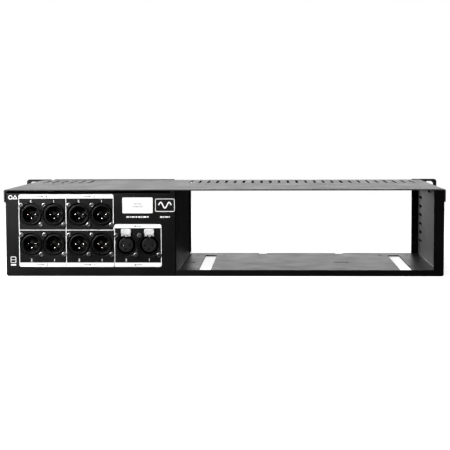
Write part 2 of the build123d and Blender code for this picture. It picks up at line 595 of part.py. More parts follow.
def input_transformer(x):
    """Screened can on a round foot."""
    w, foot_r, can_r, height = 88, 18.0, 16.0, 34
    can = rod_z(x, w, MAIN_BOARD_TOP, MAIN_BOARD_TOP + 3, foot_r)
    can += rod_z(x, w, MAIN_BOARD_TOP, MAIN_BOARD_TOP + height, can_r)
    return fillet(can.faces().sort_by(Axis.Z)[-1].edges(), 1.5)


def split_resistors():
    """Four rows of four resistors that share each channel among its outputs."""
    r, length = 1.2, 7
    return [rod_x(x, x + length, w, MAIN_BOARD_TOP + r, r)
            for x in (92.0, 112.0, 132.0, 152.0) for w in (118.0, 124.0, 130.0, 136.0)]


def ribbon_headers():
    """Box headers at both ends of the two ribbon cables."""
    top = MAIN_BOARD_TOP + HEADER_HEIGHT
    rear_face, front_face = REAR_BOARD_FACE, FRONT_BOARD_W - SEAT
    return [slab(121, 151, rear_face, rear_face + HEADER_HEIGHT, *HEADER_Z),
            slab(121, 151, 56, 64, MAIN_BOARD_TOP, top),
            slab(123, 149, front_face - HEADER_HEIGHT, front_face, *HEADER_Z),
            slab(123, 149, 160, 168, MAIN_BOARD_TOP, top)]


def ribbon(points, width):
    """Flat cable: a thin band along a rounded path of (distance from the rear, height) points."""
    path = FilletPolyline(*[(REAR_Y - w, z) for w, z in points], radius=4)
    band = trace(path, line_width=RIBBON_THICKNESS)
    side = Plane(origin=(MODULE_MIDDLE - 1.1 - width / 2, 0, 0), x_dir=(0, 1, 0), z_dir=(1, 0, 0))
    return extrude(side * band, width)


def rear_ribbon_cable():
    start, low = REAR_BOARD_FACE + HEADER_HEIGHT + SEAT, MAIN_BOARD_TOP + HEADER_HEIGHT + SEAT
    return ribbon([(start, CABLE_Z), (46, CABLE_Z), (60, 36), (60, low)], 26)


def front_ribbon_cable():
    start, low = FRONT_BOARD_W - 2 * SEAT - HEADER_HEIGHT, MAIN_BOARD_TOP + HEADER_HEIGHT + SEAT
    return ribbon([(start, CABLE_Z), (178, CABLE_Z), (164, 34), (164, low)], 22)


# --- screws ---------------------------------------------------------------------------------------
def chassis_screws():
    places = [facing(x, w, 0, DOWN) for x, w in FOOT_SCREWS + SUBPANEL_FLOOR_SCREWS]
    places += [facing(HALF, w, z, OUT_PLUS_X) for w, z in WALL_SCREWS]
    places += [facing(PARTITION_X - TRAY_SHEET, w, z, OUT_MINUS_X) for w, z in PARTITION_SCREWS]
    return [place * countersunk_screw(4.5) for place in places]


def cover_screws():
    return [facing(side * COVER_OUTSIDE, w, COVER_SCREW_Z, OUT_PLUS_X if side > 0 else OUT_MINUS_X)
            * countersunk_screw(4.8) for side, w in COVER_SCREWS]


def rack_ear_screws():
    face = DEPTH + EAR_THICKNESS
    return [facing(side * EAR_SCREW_X, face, z, OUT_FRONT) * countersunk_screw(6.0)
            for side, z in EAR_SCREWS]


def faceplate_screws():
    front = DEPTH + FACEPLATE_THICKNESS
    return [facing(x, front, z, OUT_FRONT) * button_screw(7.0, 2.9, 1.7) for x, z in FACEPLATE_SCREWS]


def socket_screws():
    return [facing(x + sign * SCREW_OFFSET, 0, z + sign * SCREW_OFFSET, OUT_REAR) * button_screw(9.0)
            for x, z in SOCKETS for sign in (-1, 1)]


def main_board_screws():
    return [facing(x, w, MAIN_BOARD_Z + BOARD, UP) * button_screw(5.0, 2.6, 1.5, THREAD_R)
            for x, w in STANDOFFS]


def front_board_screws():
    return [facing(x, FRONT_BOARD_W, z, OUT_REAR) * button_screw(5.0, 2.6, 1.5, THREAD_R)
            for x, z in SPACERS]


# --- assembly -------------------------------------------------------------------------------------
parts = {
    "chassis_tray": chassis_tray(),
    "top_cover": top_cover(),
    "module_housing": module_housing(),
    "front_subpanel": front_subpanel(),
    "module_faceplate": module_faceplate(),
    "rack_ear_left": rack_ear(1),
    "rack_ear_right": rack_ear(-1),
    "output_socket_pins": [output_pin(*p) for x, z in OUTPUTS.values() for p in contacts(x, z)],
    "input_socket_contacts": [input_contact(*p) for x, z in INPUTS.values() for p in contacts(x, z)],
    "chassis_screws": chassis_screws(),
    "cover_screws": cover_screws(),
    "rack_ear_screws": rack_ear_screws(),
    "faceplate_screws": faceplate_screws(),
    "socket_screws": socket_screws(),
    "rear_board": rear_board(),
    "main_board": main_board(),
    "front_board": front_board(),
    "main_board_standoffs": [standoff(*p) for p in STANDOFFS],
    "front_board_spacers": [spacer(*p) for p in SPACERS],
    "main_board_screws": main_board_screws(),
    "front_board_screws": front_board_screws(),
    "split_resistors": split_resistors(),
    "ribbon_headers": ribbon_headers(),
    "rear_ribbon_cable": rear_ribbon_cable(),
    "front_ribbon_cable": front_ribbon_cable(),
    "pot_nuts": [pot_nut(x) for x in KNOBS.values()],
    "output_switches": [output_switch(x) for x in BUTTONS.values()],
    "input_transformer_left": input_transformer(168.0),
    "input_transformer_right": input_transformer(106.0),
}
for name, (x, z) in OUTPUTS.items():
    parts[f"output_socket_{name}"] = output_socket(x, z)
for name, (x, z) in INPUTS.items():
    parts[f"input_socket_{name}"] = input_socket(x, z)
    parts[f"input_insert_{name}"] = input_insert(x, z)
    parts[f"input_latch_{name}"] = input_latch(x, z)
    parts[f"input_latch_spring_{name}"] = latch_spring(x, z)
for name, x in KNOBS.items():
    parts[f"level_pot_{name}"] = level_pot(x)
    parts[f"level_shaft_{name}"] = level_shaft(x)
    parts[f"level_knob_{name}"] = level_knob(x)
for number, x in BUTTONS.items():
    parts[f"output_button_{number}"] = output_button(x)

os.makedirs("parts", exist_ok=True)
for name, shape in parts.items():
    if isinstance(shape, list):
        shape = Compound(children=[solid for piece in shape for solid in piece.solids()])
    export_step(shape, f"parts/{name}.step")
print(len(parts), "nodes written")
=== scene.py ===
import math
import json

import bmesh
import bpy
from mathutils import Matrix, Vector


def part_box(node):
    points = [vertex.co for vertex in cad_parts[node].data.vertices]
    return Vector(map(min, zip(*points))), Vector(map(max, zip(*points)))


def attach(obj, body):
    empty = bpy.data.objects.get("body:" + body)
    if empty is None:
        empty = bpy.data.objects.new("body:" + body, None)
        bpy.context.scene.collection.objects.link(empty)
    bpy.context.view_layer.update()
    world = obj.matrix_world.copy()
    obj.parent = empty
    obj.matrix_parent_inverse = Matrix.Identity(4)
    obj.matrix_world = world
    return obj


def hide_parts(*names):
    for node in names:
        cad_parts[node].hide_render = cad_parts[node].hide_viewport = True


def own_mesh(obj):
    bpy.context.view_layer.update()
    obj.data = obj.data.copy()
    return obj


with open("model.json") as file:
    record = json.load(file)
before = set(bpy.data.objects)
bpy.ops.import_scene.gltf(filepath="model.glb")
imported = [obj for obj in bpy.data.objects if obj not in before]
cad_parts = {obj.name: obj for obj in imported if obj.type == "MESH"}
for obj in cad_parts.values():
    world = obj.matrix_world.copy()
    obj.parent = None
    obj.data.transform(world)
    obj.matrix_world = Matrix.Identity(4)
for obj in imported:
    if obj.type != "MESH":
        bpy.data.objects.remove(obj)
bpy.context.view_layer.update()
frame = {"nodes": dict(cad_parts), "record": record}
NODES = frame["nodes"]
MM = 0.001

# --- places taken from the frame ------------------------------------------------------------------
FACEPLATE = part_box("module_faceplate")
REAR_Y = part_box("module_housing")[1].y     # outer face of the rear panel
FRONT_Y = FACEPLATE[0].y                   # outer face of the faceplate
OUTPUT_NAMES = [f"{n}_{side}" for n in (4, 3, 2, 1) for side in ("right", "left")]
INPUT_NAMES = ["right", "left"]


def centre(node):
    low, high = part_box(node)
    return (low + high) / 2


OUTPUT_CENTRES = {n: centre(f"output_socket_{n}") for n in OUTPUT_NAMES}
INPUT_CENTRES = {n: centre(f"input_insert_{n}") for n in INPUT_NAMES}


# --- node helpers ---------------------------------------------------------------------------------
class Shader:
    """A small wrapper that adds nodes to one material's tree and links them."""

    def __init__(self, name):
        self.material = bpy.data.materials.new(name)
        self.material.use_nodes = True
        self.tree = self.material.node_tree
        self.surface = self.tree.nodes["Principled BSDF"]
        self.place = self.add("ShaderNodeTexCoord").outputs["Object"]

    def add(self, kind, **values):
        node = self.tree.nodes.new(kind)
        for key, value in values.items():
            if hasattr(node, key):
                setattr(node, key, value)
            else:
                node.inputs[key.replace("_", " ").title()].default_value = value
        return node

    def link(self, source, target):
        self.tree.links.new(source, target)

    def set(self, **values):
        for key, value in values.items():
            label = key.replace("_", " ").title().replace("Ior", "IOR")
            self.surface.inputs[label].default_value = value

    def noise(self, scale, detail=2.0, roughness=0.5, stretch=None):
        texture = self.add("ShaderNodeTexNoise", scale=scale, detail=detail, roughness=roughness)
        source = self.place
        if stretch:
            mapping = self.add("ShaderNodeMapping")
            mapping.inputs["Scale"].default_value = stretch
            self.link(self.place, mapping.inputs["Vector"])
            source = mapping.outputs["Vector"]
        self.link(source, texture.inputs["Vector"])
        return texture.outputs["Fac"]

    def spread(self, source, low, high, start=0.3, end=0.7):
        """Maps a noise to a value between low and high."""
        node = self.add("ShaderNodeMapRange")
        for key, value in (("From Min", start), ("From Max", end), ("To Min", low),
                           ("To Max", high)):
            node.inputs[key].default_value = value
        self.link(source, node.inputs["Value"])
        return node.outputs["Result"]

    def mix(self, factor, first, second):
        """Blends two colours; each may be a socket or an RGB triple."""
        node = self.add("ShaderNodeMix", data_type="RGBA")
        self.link(factor, node.inputs["Factor"])
        for value, target in ((first, node.inputs[6]), (second, node.inputs[7])):
            if isinstance(value, bpy.types.NodeSocket):
                self.link(value, target)
            else:
                target.default_value = (*value, 1.0)
        return node.outputs[2]

    def maths(self, operation, first, second):
        node = self.add("ShaderNodeMath", operation=operation)
        for value, target in ((first, node.inputs[0]), (second, node.inputs[1])):
            if isinstance(value, bpy.types.NodeSocket):
                self.link(value, target)
            else:
                target.default_value = value
        return node.outputs[0]

    def bump(self, height, depth, strength=1.0, rounded=0.0):
        """Bump of a real depth in metres, over edges softened by a small radius."""
        node = self.add("ShaderNodeBump", strength=strength, distance=depth)
        self.link(height, node.inputs["Height"])
        if rounded:
            bevel = self.add("ShaderNodeBevel", samples=4, radius=rounded)
            self.link(bevel.outputs["Normal"], node.inputs["Normal"])
        self.link(node.outputs["Normal"], self.surface.inputs["Normal"])

    def edge_mask(self, radius):
        """1 near sharp edges, 0 on flat ground, from how far a bevelled normal leans."""
        bevel = self.add("ShaderNodeBevel", samples=4, radius=radius)
        flat = self.add("ShaderNodeNewGeometry").outputs["Normal"]
        dot = self.add("ShaderNodeVectorMath", operation="DOT_PRODUCT")
        self.link(bevel.outputs["Normal"], dot.inputs[0])
        self.link(flat, dot.inputs[1])
        return self.spread(dot.outputs["Value"], 1.0, 0.0, 0.80, 0.985)


def powder_coat(name, shade, roughness=0.42, wear=0.10):
    """Fine-textured powder coat: orange peel with a finer grain, faint mottling, rubbed edges."""
    s = Shader(name)
    mottle = s.noise(35.0, 3.0)
    grain = s.noise(1400.0, 2.0, 0.6)
    peel = s.noise(420.0, 2.0)
    tone = s.mix(s.spread(mottle, 0.0, 1.0), [c * 0.85 for c in shade], [c * 1.15 for c in shade])
    rubbing = s.spread(s.noise(260.0, 3.0), 0.0, wear, 0.45, 0.7)
    rubbed = s.maths("MULTIPLY", s.edge_mask(0.0006), rubbing)
    s.link(s.mix(rubbed, tone, (0.20, 0.20, 0.20)), s.surface.inputs["Base Color"])
    s.link(s.spread(mottle, roughness - 0.04, roughness + 0.04), s.surface.inputs["Roughness"])
    height = s.maths("ADD", s.maths("MULTIPLY", grain, 0.5), peel)
    s.bump(height, 0.00006, 0.55, rounded=0.0004)
    s.set(ior=1.5)
    return s.material


def anodised(name, shade, roughness=0.34, along=(1.0, 60.0, 60.0)):
    """Brushed aluminium under black anodising, with the brushing along one axis."""
    s = Shader(name)
    lines = s.noise(55.0, 4.0, 0.7, stretch=along)
    tone = s.mix(s.spread(lines, 0.0, 1.0), [c * 0.75 for c in shade], [c * 1.4 for c in shade])
    edge = s.maths("MULTIPLY", s.edge_mask(0.0005), 0.35)
    s.link(s.mix(edge, tone, (0.35, 0.35, 0.36)), s.surface.inputs["Base Color"])
    s.link(s.spread(lines, roughness - 0.07, roughness + 0.07), s.surface.inputs["Roughness"])
    s.bump(lines, 0.00002, 0.4, rounded=0.0003)
    s.set(metallic=0.75)
    return s.material


def moulded(name, shade, roughness=0.38, grain_scale=2200.0, depth=0.00003):
    """Moulded plastic with a fine spark-eroded grain."""
    s = Shader(name)
    grain = s.noise(grain_scale, 2.0, 0.6)
    cloud = s.noise(120.0, 2.0)
    s.link(s.mix(s.spread(cloud, 0.0, 1.0), [c * 0.85 for c in shade], [c * 1.2 for c in shade]),
           s.surface.inputs["Base Color"])
    s.link(s.spread(cloud, roughness - 0.05, roughness + 0.06), s.surface.inputs["Roughness"])
    s.bump(grain, depth, 0.5, rounded=0.0002)
    return s.material


def bare_metal(name, shade, roughness=0.24, scratch=(1.0, 1.0, 14.0), tarnish=0.8, painted_shade_depth=0.0):
    """Plated or bare metal: fine drawn lines, uneven polish, tarnish in patches.

    A non-zero last argument is a depth in metres: recesses that deep get painted shade, their
    colour darkened to near black by an occlusion mask.
    """
    s = Shader(name)
    lines = s.noise(700.0, 3.0, 0.65, stretch=scratch)
    patch = s.noise(180.0, 3.0)
    tone = s.mix(s.spread(patch, 0.0, 1.0, 0.4, 0.75), shade, [c * tarnish for c in shade])
    if painted_shade_depth:
        # painted shade: colour in recesses darkened to near black by an occlusion mask
        recess_occlusion = s.add("ShaderNodeAmbientOcclusion", samples=8, only_local=True)
        recess_occlusion.inputs["Distance"].default_value = painted_shade_depth
        unshaded_share = s.spread(recess_occlusion.outputs["AO"], 0.0, 1.0, 0.45, 0.85)
        tone = s.mix(unshaded_share, (0.01, 0.01, 0.01), tone)
    s.link(tone, s.surface.inputs["Base Color"])
    s.link(s.spread(lines, roughness - 0.08, roughness + 0.10), s.surface.inputs["Roughness"])
    s.bump(lines, 0.000012, 0.5, rounded=0.00015)
    s.set(metallic=1.0)
    return s.material


def circuit_board(name):
    """Solder resist over copper: slightly raised tracks, glossy, darker between the tracks."""
    s = Shader(name)
    bricks = s.add("ShaderNodeTexBrick", scale=160.0, mortar_size=0.03, offset=0.5)
    s.link(s.place, bricks.inputs["Vector"])
    tracks = bricks.outputs["Fac"]
    s.link(s.mix(tracks, (0.010, 0.075, 0.032), (0.030, 0.150, 0.060)),
           s.surface.inputs["Base Color"])
    s.link(s.spread(s.noise(300.0), 0.25, 0.35), s.surface.inputs["Roughness"])
    s.bump(tracks, 0.00004, 0.6)
    return s.material


def ink(name, shade, roughness=0.5):
    """Screen-printing ink: matt, with a faint mesh texture and slightly uneven cover."""
    s = Shader(name)
    cover = s.noise(900.0, 3.0, 0.6)
    s.link(s.mix(s.spread(cover, 0.0, 1.0), [c * 0.93 for c in shade], shade),
           s.surface.inputs["Base Color"])
    s.link(s.spread(cover, roughness - 0.05, roughness + 0.08), s.surface.inputs["Roughness"])
    s.bump(cover, 0.00001, 0.4)
    return s.material


COVER_PAINT = powder_coat("cover_powder_coat", (0.030, 0.030, 0.031), 0.40)
# tray and panel: the cover's black powder coat darkened far below the cover's so those faces read
# black: painted shade
SHADED_TRAY_PAINT = powder_coat("tray_powder_coat_shaded", (0.0015, 0.0015, 0.0015), 0.42)
SHADED_PANEL_PAINT = powder_coat("panel_powder_coat_shaded", (0.0018, 0.0018, 0.0018), 0.38)
EAR_PAINT = powder_coat("ear_powder_coat", (0.004, 0.004, 0.004), 0.55)
FACEPLATE_FINISH = anodised("faceplate_anodising", (0.035, 0.035, 0.037))
# black plastic set near zero so the socket cavities read black: partly the shell's own colour,
# partly painted shade
SHELL_WITH_PAINTED_SHADE = moulded("socket_shell", (0.002, 0.002, 0.0021), 0.33)
INSERT = moulded("socket_insert", (0.004, 0.004, 0.0042), 0.45)
PLATING = bare_metal("contact_plating", (0.92, 0.90, 0.86), 0.16)
LATCH_METAL = bare_metal("latch_metal", (0.93, 0.93, 0.93), 0.45, scratch=(6.0, 1.0, 1.0))
SPRING_METAL = bare_metal("spring_wire", (0.60, 0.60, 0.61), 0.25)
BLACK_ZINC = bare_metal("black_zinc", (0.10, 0.10, 0.105), 0.33)
# the screw recesses get painted shade
SCREW_METAL = bare_metal("socket_screw_zinc", (0.80, 0.80, 0.81), 0.28, painted_shade_depth=0.0012)
NICKEL = bare_metal("nickel_hardware", (0.72, 0.71, 0.68), 0.26)
BOARD = circuit_board("circuit_board")
RESISTOR = moulded("resistor_lacquer", (0.20, 0.42, 0.62), 0.25)
BLACK_PLASTIC = moulded("header_plastic", (0.015, 0.015, 0.015), 0.45)
RIBBON = moulded("ribbon_sheath", (0.38, 0.38, 0.39), 0.5)
CAN = bare_metal("transformer_can", (0.55, 0.54, 0.51), 0.42)
POT_CAN = bare_metal("pot_can", (0.52, 0.52, 0.52), 0.36)
KNOB = anodised("knob_anodising", (0.055, 0.055, 0.058), 0.28, along=(8.0, 1.0, 8.0))
BUTTON = moulded("button_plastic", (0.050, 0.050, 0.052), 0.40)
WHITE_INK = ink("white_ink", (0.92, 0.92, 0.92))
DARK_INK = ink("dark_ink", (0.05, 0.05, 0.05))
LABEL_PAPER = ink("label_paper", (0.93, 0.93, 0.93), 0.42)
LABEL_TINT = ink("label_tint", (0.78, 0.78, 0.78), 0.42)
LABEL_GREY = ink("label_grey_ink", (0.35, 0.35, 0.35))

FINISHES = {
    "cover_paint": COVER_PAINT, "tray_paint": SHADED_TRAY_PAINT, "panel_paint": SHADED_PANEL_PAINT,
    "ear_paint": EAR_PAINT, "faceplate_anodised": FACEPLATE_FINISH, "socket_shell": SHELL_WITH_PAINTED_SHADE,
    "insert_plastic": INSERT,
    "contact_plating": PLATING, "latch_steel": LATCH_METAL, "spring_steel": SPRING_METAL,
    "black_screws": BLACK_ZINC, "socket_screws": SCREW_METAL, "circuit_board": BOARD,
    "plated_hardware": NICKEL, "resistor_body": RESISTOR, "header_plastic": BLACK_PLASTIC,
    "ribbon_sheath": RIBBON, "transformer_can": CAN, "pot_body": POT_CAN, "knob_metal": KNOB,
    "button_plastic": BUTTON,
}


def finish_cad_nodes():
    """Gives every CAD node the finish of its record slot."""
    for part in frame["record"]["subparts"]:
        piece = NODES[part["node"]]
        for slot in piece.material_slots:
            slot.material = FINISHES[part["material_slot"]]


# --- pieces ---------------------------------------------------------------------------------------
def add_piece(name, mesh, material, body="frame"):
    """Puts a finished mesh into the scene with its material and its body."""
    piece = bpy.data.objects.new(name, mesh)
    bpy.context.scene.collection.objects.link(piece)
    mesh.materials.append(material)
    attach(piece, body)
    return piece


def mesh_of(name, curve):
    """The mesh of a curve or text, without the curve itself."""
    holder = bpy.data.objects.new(name, curve)
    bpy.context.scene.collection.objects.link(holder)
    bpy.context.view_layer.update()
    evaluated = holder.evaluated_get(bpy.context.evaluated_depsgraph_get())
    mesh = bpy.data.meshes.new_from_object(evaluated)
    bpy.data.objects.remove(holder)
    return mesh


SPRING_TURNS = 5
SPRING_STEPS = 24              # points along each turn
SPRING_WIRE_R = 0.00022


def latch_spring(side):
    """Coil spring behind a latch, in place of the CAD spring node."""
    node = f"input_latch_spring_{side}"
    low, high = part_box(node)
    middle = (low + high) / 2
    coil_r = (high.x - low.x) / 2 - SPRING_WIRE_R
    start, end = high.y - SPRING_WIRE_R, low.y + SPRING_WIRE_R
    line = bpy.data.curves.new(f"{node}_line", "CURVE")
    line.dimensions = "3D"
    line.bevel_depth = SPRING_WIRE_R
    line.bevel_resolution = 3
    line.use_fill_caps = True
    steps = SPRING_TURNS * SPRING_STEPS
    path = line.splines.new("POLY")
    path.points.add(steps)
    for i, point in enumerate(path.points):
        turn = 2 * math.pi * SPRING_TURNS * i / steps
        point.co = (middle.x + coil_r * math.cos(turn), start + (end - start) * i / steps,
                    middle.z + coil_r * math.sin(turn), 1)
    mesh = mesh_of(f"{node}_line", line)
    piece = add_piece(f"latch_coil_{side}", mesh, SPRING_METAL)
    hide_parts(node)
    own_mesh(piece)


# --- printed graphics: thin raised ink, drawn in millimetres on a panel plane ---------------------
REAR = Matrix(((-1, 0, 0, 0), (0, 0, 1, REAR_Y), (0, 1, 0, 0), (0, 0, 0, 1)))
FRONT = Matrix(((1, 0, 0, 0), (0, 0, -1, FRONT_Y), (0, 1, 0, 0), (0, 0, 0, 1)))
INK_DEPTH = 0.05
CORNER_STEPS = 5               # straight runs in a rounded corner
CAPITAL_SHARE = 0.70           # height of a digit as a share of the font's size


def scaled(plane):
    """The plane's matrix for outlines in millimetres."""
    return plane @ Matrix.Diagonal((MM, MM, MM, 1))


def rounded_box(x0, x1, z0, z1, radii):
    """Outline of a box with four corner radii: lower left, lower right, upper right, upper left."""
    corners = ((x0, z0, 1, 1, 180), (x1, z0, -1, 1, 270), (x1, z1, -1, -1, 0), (x0, z1, 1, -1, 90))
    outline = []
    for (x, z, sx, sz, start), r in zip(corners, radii):
        if r == 0:
            outline.append((x, z))
            continue
        for i in range(CORNER_STEPS + 1):
            a = math.radians(start + 90 * i / CORNER_STEPS)
            outline.append((x + sx * r + r * math.cos(a), z + sz * r + r * math.sin(a)))
    return outline


def bar(x0, x1, z0, z1, r=0.0):
    return rounded_box(x0, x1, z0, z1, (r, r, r, r))


def stroke(points, width, closed=False):
    """Four-cornered pieces along a line of points; neighbours share their mitred corners."""
    spots = [Vector(p) for p in points]
    runs = [(b - a).normalized() for a, b in zip(spots, spots[1:] + spots[:1])]
    last = len(spots) - 1
    edges = []
    for i, spot in enumerate(spots):
        before = runs[i - 1] if closed or i > 0 else runs[0]
        after = runs[i] if closed or i < last else runs[last - 1]
        across = Vector((-before.y - after.y, before.x + after.x)).normalized()
        reach = width / 2 / max(0.4, across.dot(Vector((-before.y, before.x))))
        edges.append((tuple(spot + across * reach), tuple(spot - across * reach)))
    pairs = zip(edges, edges[1:] + edges[:1]) if closed else zip(edges, edges[1:])
    return [[a[0], a[1], b[1], b[0]] for a, b in pairs]


def ring(x, z, r, width, start=0, end=360, steps=20):
    """Pieces of a printed ring, or of an arc of it."""
    inner, outer = r - width / 2, r + width / 2
    pieces = []
    for i in range(steps):
        a, b = (math.radians(start + (end - start) * k / steps) for k in (i, i + 1))
        pieces.append([(x + q * math.cos(t), z + q * math.sin(t))
                       for q, t in ((inner, a), (outer, a), (outer, b), (inner, b))])
    return pieces


def arrow(x, z, length, points_right, height=1.9):
    """A plain signal arrow: a shaft and a head."""
    d = 1 if points_right else -1
    tail, tip = x - d * length / 2, x + d * length / 2
    neck = tip - d * height * 0.9
    return [bar(min(tail, neck), max(tail, neck), z - height * 0.14, z + height * 0.14),
            [(neck, z - d * height / 2), (tip, z), (neck, z + d * height / 2)]]


def box_outline(x, z, half_width, half_height, r, width):
    """A rounded rectangle drawn as a printed line."""
    w, h, half = half_width, half_height, width / 2
    pieces = [bar(x - w + r, x + w - r, z + k * h - half, z + k * h + half) for k in (-1, 1)]
    pieces += [bar(x + k * w - half, x + k * w + half, z - h + r, z + h - r) for k in (-1, 1)]
    for sx, sz, start in ((1, 1, 0), (-1, 1, 90), (-1, -1, 180), (1, -1, 270)):
        pieces += ring(x + sx * (w - r), z + sz * (h - r), r, width, start, start + 90,
                       CORNER_STEPS)
    return pieces


def dash_row(start, end, z, height, lengths):
    """Plain dashes of varied length between two points, where a line of small print would be."""
    dashes, u, k = [], start, 0
    while u < end:
        stop = min(u + lengths[k % len(lengths)], end)
        dashes.append(bar(u, stop, z - height / 2, z + height / 2, 0.3))
        u = stop + 0.7
        k += 1
    return dashes


def printed(name, outlines, material, plane=REAR, layer=1, body="frame"):
    """One piece of raised ink from flat outlines; layer 2 lies on top of layer 1."""
    mesh = bpy.data.meshes.new(name)
    build = bmesh.new()
    top, under = layer * INK_DEPTH, (layer - 1) * INK_DEPTH
    for outline in outlines:
        upper = [build.verts.new((x, z, top)) for x, z in outline]
        lower = [build.verts.new((x, z, under)) for x, z in outline]
        build.faces.new(upper)
        build.faces.new(lower[::-1])
        for i in range(len(outline)):
            j = (i + 1) % len(outline)
            build.faces.new((upper[i], lower[i], lower[j], upper[j]))
    bmesh.ops.recalc_face_normals(build, faces=build.faces)
    build.transform(scaled(plane))
    build.to_mesh(mesh)
    build.free()
    return add_piece(name, mesh, material, body)


def numerals(name, marks, material, plane=REAR, layer=1):
    """Numbers as raised ink. Each mark is (text, x, z, height, upside_down)."""
    build = bmesh.new()
    for text, x, z, height, upside_down in marks:
        curve = bpy.data.curves.new(name, "FONT")
        curve.body = text
        curve.size = height / CAPITAL_SHARE
        curve.resolution_u = 3
        curve.align_x, curve.align_y = "CENTER", "CENTER"
        curve.extrude = INK_DEPTH / 2
        curve.offset = 0.02 * height
        mesh = mesh_of(name, curve)
        turn = Matrix.Rotation(math.pi if upside_down else 0.0, 4, "Z")
        place = Matrix.Translation((x, z, (layer - 0.5) * INK_DEPTH))
        mesh.transform(scaled(plane) @ place @ turn)
        build.from_mesh(mesh)
        bpy.data.meshes.remove(mesh)
    mesh = bpy.data.meshes.new(name)
    build.to_mesh(mesh)
    build.free()
    return add_piece(name, mesh, material)


# rear panel layout in millimetres, as seen from behind: u grows to the right from the unit's
# middle, and heights are from the tray's underside
OUTPUT_BOX = (-208.0, -111.3)
OUTPUT_MIDDLE = -159.8
INPUT_BOX = (-110.8, -62.9)
TOP_BAR = (79.1, 83.3)
LOW_BAR = (9.5, 13.8)
INPUT_TOP_BAR = (49.0, 53.0)
DIVIDER_Z = 47.0
LINE = 0.6
BAR_R, FOOT_R = 2.0, 1.2                # a bar's outer corners, and its corner beside a neighbour
UPPER_NUMBERS_Z, LOWER_NUMBERS_Z = 76.5, 16.3
CHANNEL_HEIGHT, OUTPUT_NUMBER_HEIGHT = 2.5, 2.3

SIGN_LINE = 0.65
RING_SIGN = (-216.2, 80.3, 1.8, 0.85)   # u, height, radius, line width
TRIANGLE_SIGN = ((-213.6, 78.8), (-209.5, 78.8), (-211.55, 82.2))
CABINET_U, CABINET_Z, CABINET_HALF = -214.1, 16.7, (2.5, 2.9)
WAVE_U, WAVE_Z, WAVE_FRAME_HALF = -59.2, 72.2, (9.6, 6.3)
WAVE_REACH, WAVE_SWING, WAVE_STEPS = 6.4, 2.9, 40
SMALL_PRINT = ((-98.4, -75.8), (-64.2, -54.2))
SMALL_PRINT_Z, SMALL_PRINT_HEIGHT = 60.3, 1.4

LABEL = (-102.3, -71.6, 64.1, 80.0)
LABEL_MARGIN = 1.6
LABEL_ROWS = ((73.6, (2.2, 1.4, 2.6)), (70.8, (1.6, 3.0, 1.2, 1.8)))
LABEL_GAP = 0.6


def rear_frames():
    """White frames round the outputs and the inputs, with solid bars above and below."""
    left, right = OUTPUT_BOX
    half = LINE / 2
    white = [rounded_box(left, right, *TOP_BAR, (0, 0, BAR_R, BAR_R)),
             rounded_box(left, right, *LOW_BAR, (BAR_R, FOOT_R, 0, 0)),
             bar(left, left + LINE, LOW_BAR[1], TOP_BAR[0]),
             bar(OUTPUT_MIDDLE - half, OUTPUT_MIDDLE + half, LOW_BAR[1], TOP_BAR[0]),
             bar(right - LINE, right, DIVIDER_Z + half, TOP_BAR[0]),
             bar(left + LINE, OUTPUT_MIDDLE - half, DIVIDER_Z - half, DIVIDER_Z + half),
             bar(OUTPUT_MIDDLE + half, right, DIVIDER_Z - half, DIVIDER_Z + half)]
    left, right = INPUT_BOX
    white += [rounded_box(left, right, *INPUT_TOP_BAR, (0, 0, BAR_R, BAR_R)),
              rounded_box(left, right, *LOW_BAR, (FOOT_R, BAR_R, 0, 0)),
              bar(left, left + LINE, LOW_BAR[1], INPUT_TOP_BAR[0]),
              bar(right - LINE, right, LOW_BAR[1], INPUT_TOP_BAR[0])]
    printed("panel_frame_print", white, WHITE_INK)


def rear_arrows():
    """Dark arrows and output numbers on the white bars, and a number at each socket."""
    left, right = OUTPUT_BOX
    quarter = (right - left) / 4
    columns = (left + quarter, right - quarter)
    top, low, input_top = (sum(edges) / 2 for edges in (TOP_BAR, LOW_BAR, INPUT_TOP_BAR))
    dark, digits = [], []
    for z, numbers, upside_down in ((top, "43", True), (low, "21", False)):
        for u, number in zip(columns, numbers):
            dark += arrow(u - 2.5, z, 7.5, True)
            digits.append((number, u + 4.6, z, OUTPUT_NUMBER_HEIGHT, upside_down))
    for z in (input_top, low):
        dark += arrow(sum(INPUT_BOX) / 2, z, 8.0, False)
    for z in (top, low):
        dark.append(bar(OUTPUT_MIDDLE - 0.15, OUTPUT_MIDDLE + 0.15, z - 1.0, z + 1.0))
    printed("panel_arrow_print", dark, DARK_INK, layer=2)
    numerals("panel_output_numbers", digits, DARK_INK, layer=2)

    channels = []
    for name, place in OUTPUT_CENTRES.items():
        upper = name[0] in "43"
        z = UPPER_NUMBERS_Z if upper else LOWER_NUMBERS_Z
        digit = "2" if name.endswith("right") else "1"
        channels.append((digit, -place.x / MM, z, CHANNEL_HEIGHT, upper))
    for name, place in INPUT_CENTRES.items():
        digit = "2" if name == "right" else "1"
        channels.append((digit, -place.x / MM, LOWER_NUMBERS_Z, CHANNEL_HEIGHT, False))
    numerals("panel_channel_numbers", channels, WHITE_INK)


